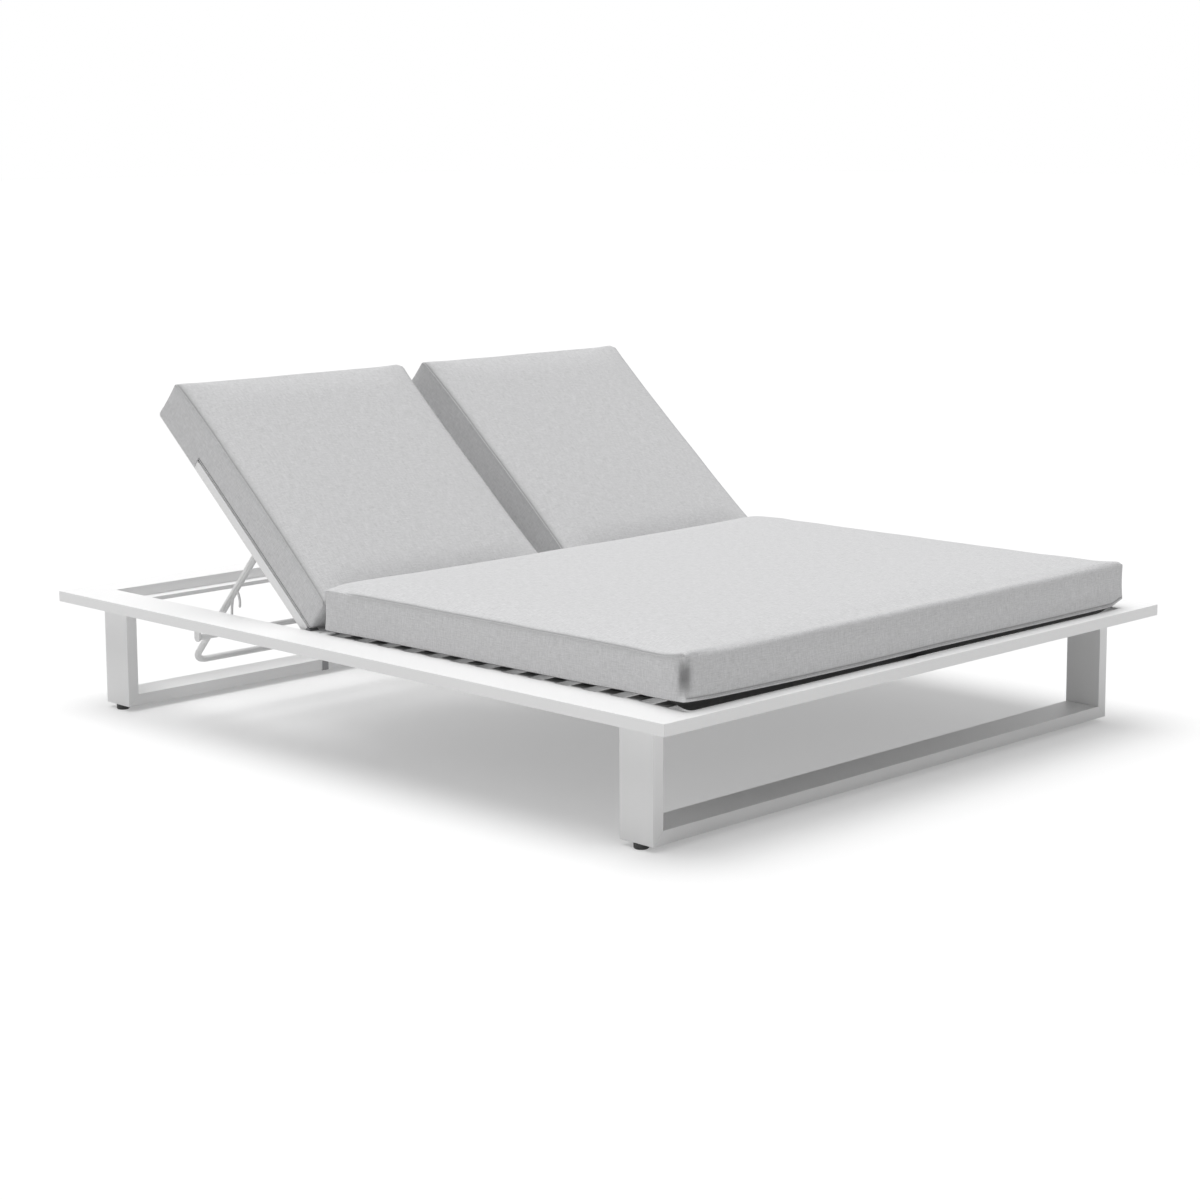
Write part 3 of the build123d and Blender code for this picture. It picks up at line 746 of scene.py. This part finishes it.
def make_stage():
    mesh = bpy.data.meshes.new("floor")
    corners = ((-1, -1), (1, -1), (1, 1), (-1, 1))
    places = [(x * FLOOR_REACH, y * FLOOR_REACH, 0.0) for x, y in corners]
    mesh.from_pydata(places, [], [(0, 1, 2, 3)])
    floor = bpy.data.objects.new("floor", mesh)
    scene.collection.objects.link(floor)
    made = Material("floor_white")
    seen = made.seen()
    bounce, shown = tint((FLOOR_BOUNCE,) * 3), tint((FLOOR_COLOUR,) * 3)
    made.set({
        "Base Color": made.mix(seen, bounce, shown),
        "Roughness": 0.9,
        "Specular IOR Level": 0.0,
    })
    # The eye sees the floor's shadow a little lifted, as in the photograph
    plain = made.add("ShaderNodeEmission", {"Color": WHITE, "Strength": 1.0}).outputs[0]
    lift = made.math("MULTIPLY", seen, FLOOR_LIFT)
    inputs = {0: lift, 1: made.shader.outputs[0], 2: plain}
    both = made.add("ShaderNodeMixShader", inputs).outputs[0]
    made.feed(made.tree.nodes["Material Output"].inputs["Surface"], both)
    mesh.materials.append(made.material)

    world = bpy.data.worlds.new("studio")
    scene.world = world
    world.use_nodes = True
    sky = Nodes(world.node_tree)
    inputs = {"Value": sky.seen(), "To Min": SKY_LIGHT, "To Max": 1.0}
    background = sky.tree.nodes["Background"].inputs
    sky.feed(background["Strength"], sky.add("ShaderNodeMapRange", inputs).outputs[0])
    sky.feed(background["Color"], WHITE)

    data = bpy.data.lights.new("key", "SUN")
    data.energy = SUN_POWER
    data.angle = math.radians(SUN_SOFTNESS)
    lamp = bpy.data.objects.new("key", data)
    lamp.rotation_mode = "QUATERNION"
    lamp.rotation_quaternion = (-Vector(SUN_FROM)).to_track_quat("-Z", "Y")
    scene.collection.objects.link(lamp)


# What the shapes of the two kinds of cushion are made with, in metres. A lift is a row of places
# and how far the base stands off there: across the foot end in shares, along the sides in metres
SEAT_LOOK = {
    "height": 0.1005,
    "side_pull": 0.004,
    "end_pull": 0.002,
    "foot_out": 0.015,
    "head_out": 0.005,
    "dome": 0.015,
    "foot_dome": 0.009,
    "head_dome": 0.007,
    "near_rise": 0.007,
    "tip_rise": 0.006,
    "tip_reach": 0.030,
    "head_dip": 0.001,
    "dip_reach": 0.05,
    "wave": 0.0005,
    "crease": 0.002,
    "near_crease": 0.015,
    "crease_width": 0.018,
    # How dark the painted shade makes the colour in the near corner's dimple and along the top
    # seams, and how wide it is
    "dimple_shade": 1.0,
    "edge_shade": 0.8,
    "edge_width": 0.005,
    "corner_radii": (0.0005, 0.0005, 0.004, 0.004),
    "foot_lift": (
        (0.0, 0.018), (0.02, 0.0165), (0.055, 0.014), (0.14, 0.0115), (0.22, 0.0095),
        (0.35, 0.008), (0.54, 0.009), (0.64, 0.008), (0.78, 0.0065), (0.91, 0.006),
        (0.965, 0.006), (1.0, 0.007),
    ),
    "side_lift": ((0.0, 0.018), (0.10, 0.013), (0.30, 0.010), (0.60, 0.009), (1.10, 0.008)),
    "base_reach": 0.065,
    "base_steps": (0.0, 0.004, 0.010, 0.016),
    # Close loops also where the base hangs into the gap behind the foot rail
    "low_steps": (*WRAP_STEPS, 0.028, 0.036, 0.044, 0.051, GAP_STOP, 0.066, 0.078),
    # A seam's width, its depth and the painted shade of its lips
    "top_seam": (0.0028, 0.0045, 0.8),
    "low_seam": (0.0014, 0.0016, 0.5),
    "seam_row": 2,
    "seam_stop": 0.090,
    "hangs": True,
    "stitched": True,
    "painted_shade_underside": True,
    "cap": 0.007,
    "cap_reach": 0.10,
    "side_cap": 0.003,
}
BACK_LOOK = dict(
    SEAT_LOOK,
    height=0.088,
    side_pull=0.008,
    end_pull=0.001,
    foot_out=0.0,
    head_out=0.0,
    dome=0.003,
    foot_dome=0.003,
    head_dome=0.003,
    near_rise=0.0,
    tip_rise=0.0,
    head_dip=0.0,
    crease=0.001,
    near_crease=0.001,
    dimple_shade=0.0,
    edge_shade=0.62,
    edge_width=0.014,
    corner_radii=(0.008, 0.008, 0.005, 0.020),
    foot_lift=((0.0, 0.004), (1.0, 0.004)),
    side_lift=((0.0, 0.004), (1.0, 0.004)),
    base_reach=0.025,
    base_steps=(0.0, 0.003, 0.007),
    low_steps=WRAP_STEPS,
    top_seam=(0.0036, 0.0045, 0.5),
    low_seam=(0.0022, 0.0032, 0.5),
    seam_row=1,
    seam_stop=0.0,
    hangs=False,
    stitched=False,
    painted_shade_underside=False,
    cap=0.012,
    cap_reach=0.09,
)

# The backrests at rest: the hinge line and the angle that they are raised to
BACK_ANGLE = 40.6
HINGE_Y = 0.188
HINGE_Z = 0.2685
raised = Matrix.Rotation(math.radians(BACK_ANGLE), 4, "X")
back_place = Matrix.Translation((0, HINGE_Y, HINGE_Z)) @ raised

# The back cushion's ends and base, and the hood's open end, back panel and edge over the
# cushion's sides, along and above the backrest from the hinge
BACK_LOW_END = -0.001
BACK_HIGH_END = 0.700
BACK_BASE = 0.0113
HOOD_LOW = 0.528
HOOD_BACK = -0.0128
HOOD_TOP = 0.034
HOOD_NOTCH = 0.022
NOTCH_REACH = 0.035
HOOD_RADIUS = 0.009
HOOD_CLOTH = 0.0009
HOOD_PITCH = 0.014
HOOD_SIDE_PITCH = 0.010
HOOD_STEPS = (0.0, 0.002, 0.005, 0.009, 0.016)
HOOD_HEM_STEPS = (0.0, 0.003, 0.012, 0.018)
HOOD_RIM_STEPS = (0.0, 0.004, 0.009)
HOOD_SLACK, SLACK_POWER = 0.0035, 6
HOOD_RIPPLE, RIPPLE_RATE, RIPPLE_START = 0.0007, 46.0, 0.7
HEM_START, HEM_STOP, HEM_PROUD = 0.001, 0.0125, 0.0006
HEM_LINE = 0.0145
HEM_CORNER_LOOPS = 3
SNUG_REACH = 0.010
RIM_UNDER = -0.0012
CLOTH_OVER = 0.0005


def make_hood(name, place, left, right, cushion):
    """A fabric pocket round the head end of a backrest: back, sides and head, open below."""
    graph = bpy.context.evaluated_depsgraph_get()
    cover = BVHTree.FromObject(cushion, graph)
    size = (right - left, BACK_HIGH_END - HOOD_LOW, HOOD_TOP - HOOD_BACK)
    us = spread(size[0], HOOD_STEPS, HOOD_STEPS, HOOD_PITCH)
    vs = spread(size[1], HOOD_HEM_STEPS, HOOD_STEPS, HOOD_PITCH)
    ws = spread(size[2], HOOD_STEPS, HOOD_RIM_STEPS, HOOD_SIDE_PITCH)
    lattice, faces = box_mesh(len(us), len(vs), len(ws))
    rest = np.stack([us[lattice[:, 0]], vs[lattice[:, 1]], ws[lattice[:, 2]]], axis=1)
    points = rest.copy()
    on_back, on_rim = lattice[:, 2] == 0, lattice[:, 2] == len(ws) - 1
    at_opening = lattice[:, 1] == 0
    open_sides = (on_rim, at_opening)
    faces = [face for face in faces if not any(gone[list(face)].all() for gone in open_sides)]
    round_ends(points, size, 0, True, HOOD_RADIUS)
    # Along the pocket only the head end is rounded, because the other end is open
    at_head = rest[:, 1] > size[1] / 2
    rounded = points[at_head]
    round_ends(rounded, size, 1, True, HOOD_RADIUS)
    points[at_head] = rounded
    # The back panel is drawn in between the side tubes and eases towards its open hem
    across, along = rest[:, 0] / size[0], rest[:, 1] / size[1]
    slack = HOOD_SLACK * hump(across, SLACK_POWER) * (1 - along) ** 0.5
    ripple = HOOD_RIPPLE * np.sin(rest[:, 0] * RIPPLE_RATE + RIPPLE_START) * (1 - along) ** 2
    points[on_back, 2] += (slack + ripple)[on_back]
    # The hem is turned once, so it stands a little proud of the panel
    hem = ((rest[:, 1] > HEM_START) & (rest[:, 1] < HEM_STOP)) * HEM_PROUD
    points[on_back, 2] -= hem[on_back]
    points += np.array((left, HOOD_LOW, HOOD_BACK))
    # Above the frame the pocket's edge lies close on the cushion, and drops towards its open end
    top = HOOD_TOP - (HOOD_TOP - HOOD_NOTCH) * fade(rest[:, 1], NOTCH_REACH)
    beside = points[:, 2] > BACK_BASE
    lowered = (points[:, 2] - BACK_BASE) * (top - BACK_BASE) / (HOOD_TOP - BACK_BASE)
    points[beside, 2] = BACK_BASE + lowered[beside]
    for n in np.flatnonzero(beside):
        spot, normal, _, _ = cover.find_nearest(Vector(points[n]))
        snug = 1 - fade(points[n, 2] - BACK_BASE, SNUG_REACH)
        # Its last row is sewn in under the cushion's face
        off = RIM_UNDER if on_rim[n] else CLOTH_OVER
        points[n] += (np.array(spot + normal * off) - points[n]) * snug
    used = sorted({n for face in faces for n in face})
    renumber = {n: m for m, n in enumerate(used)}
    piece = new_mesh_object(name, points[used], [[renumber[n] for n in face] for face in faces])
    smooth = piece.modifiers.new("smooth", "SUBSURF")
    smooth.levels = smooth.render_levels = 1
    cloth = piece.modifiers.new("cloth", "SOLIDIFY")
    cloth.thickness = HOOD_CLOTH
    cloth.offset = -1
    piece.data.materials.append(woven)

    # The hem's stitches lie on the panel beside the hem's second loop
    heights = {lattice[n, 0]: points[n, 2] for n in np.flatnonzero(on_back & (lattice[:, 1] == 2))}
    loops = range(HEM_CORNER_LOOPS, len(us) - HEM_CORNER_LOOPS)
    row = np.array([[left + us[i], HOOD_LOW + HEM_LINE, heights[i]] for i in loops])
    normals = np.tile((0.0, 0.0, -1.0), (len(row), 1))
    sewing = stitches(f"{name}_stitches", row, normals, **HEM_STITCHES)
    for one in (piece, sewing):
        one.matrix_world = place
    return piece, sewing


# Claws: forks of round rod welded under each prop arm, by their curves' points in Y and Z
FORKS = (
    ((0.500, 0.327), (0.508, 0.318), (0.518, 0.295), (0.5175, 0.266)),
    ((0.500, 0.327), (0.490, 0.318), (0.484, 0.304), (0.487, 0.288)),
    ((0.5563, 0.264), (0.5643, 0.255), (0.5735, 0.235), (0.5736, 0.2205)),
    ((0.5563, 0.264), (0.5463, 0.255), (0.5403, 0.241), (0.5433, 0.226)),
)
FORK_RADIUS = 0.003
FORK_SIDES = 16
FORK_STEPS = 18
# Where the rings of a finger's domed tip lie, in radii beyond its end
TIP_RINGS = np.array((0.35, 0.75, 0.95, 1.0))
TIP_CLOSED = 0.999
ARM_PLACES = (0.677, 0.078)


def make_claws(name, sign):
    """Curved fingers of round rod, each a swept mesh with a domed tip."""
    verts, faces = [], []
    t = np.linspace(0, 1, FORK_STEPS)[:, None]
    tip_radii = np.sqrt(1 - TIP_RINGS**2 * TIP_CLOSED)
    for arm in ARM_PLACES:
        for path in FORKS:
            a, b, c, d = (np.array(point) for point in path)
            line = (1 - t) ** 3 * a + 3 * (1 - t) ** 2 * t * b + 3 * (1 - t) * t**2 * c + t**3 * d
            ahead = np.gradient(line, axis=0)
            ahead /= np.linalg.norm(ahead, axis=1, keepdims=True)
            line = np.vstack([line, line[-1] + ahead[-1] * FORK_RADIUS * TIP_RINGS[:, None]])
            ahead = np.vstack([ahead, np.repeat(ahead[-1:], len(TIP_RINGS), axis=0)])
            radii = np.concatenate([np.ones(FORK_STEPS), tip_radii]) * FORK_RADIUS
            faces += tube_faces(len(verts), len(line), FORK_SIDES, flip=True)
            for (y, z), (ahead_y, ahead_z), radius in zip(line, ahead, radii):
                for turn in range(FORK_SIDES):
                    angle = 2 * math.pi * turn / FORK_SIDES
                    x = sign * arm + radius * math.cos(angle)
                    out = radius * math.sin(angle)
                    verts.append((x, y - ahead_z * out, z + ahead_y * out))
    piece = new_mesh_object(name, verts, faces)
    piece.data.materials.append(white_coat)
    return piece


seat_low, seat_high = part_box("seat_cushion")
seat_pieces = make_cushion(
    "seat_cushion_cover",
    Matrix.Identity(4),
    (seat_low[0] + COVER_INSET, seat_low[1] + COVER_INSET, seat_low[2]),
    (
        seat_high[0] - seat_low[0] - 2 * COVER_INSET,
        seat_high[1] - seat_low[1] - 2 * COVER_INSET,
        SEAT_LOOK["height"],
    ),
    SEAT_LOOK,
)
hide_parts("seat_cushion")
for piece in seat_pieces:
    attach(piece, "base")

for side in SIDES:
    low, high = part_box(f"back_cushion_{side}")
    back_pieces = make_cushion(
        f"back_cushion_cover_{side}",
        back_place,
        (low[0] + COVER_INSET, BACK_LOW_END + COVER_INSET, BACK_BASE),
        (
            high[0] - low[0] - 2 * COVER_INSET,
            BACK_HIGH_END - BACK_LOW_END - 2 * COVER_INSET,
            BACK_LOOK["height"],
        ),
        BACK_LOOK,
    )
    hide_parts(f"back_cushion_{side}")
    hood_low, hood_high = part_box(f"back_hood_{side}")
    hood, hood_sewing = make_hood(
        f"back_hood_cloth_{side}", back_place, hood_low[0], hood_high[0], back_pieces[0]
    )
    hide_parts(f"back_hood_{side}")
    for piece in (*back_pieces, hood, hood_sewing):
        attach(piece, f"backrest_{side}")

for side, sign in zip(SIDES, (-1, 1)):
    claws = make_claws(f"prop_forks_{side}", sign)
    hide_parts(f"claws_{side}")
    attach(claws, f"prop_{side}")

make_camera()
make_stage()
scene.view_settings.view_transform = "Standard"
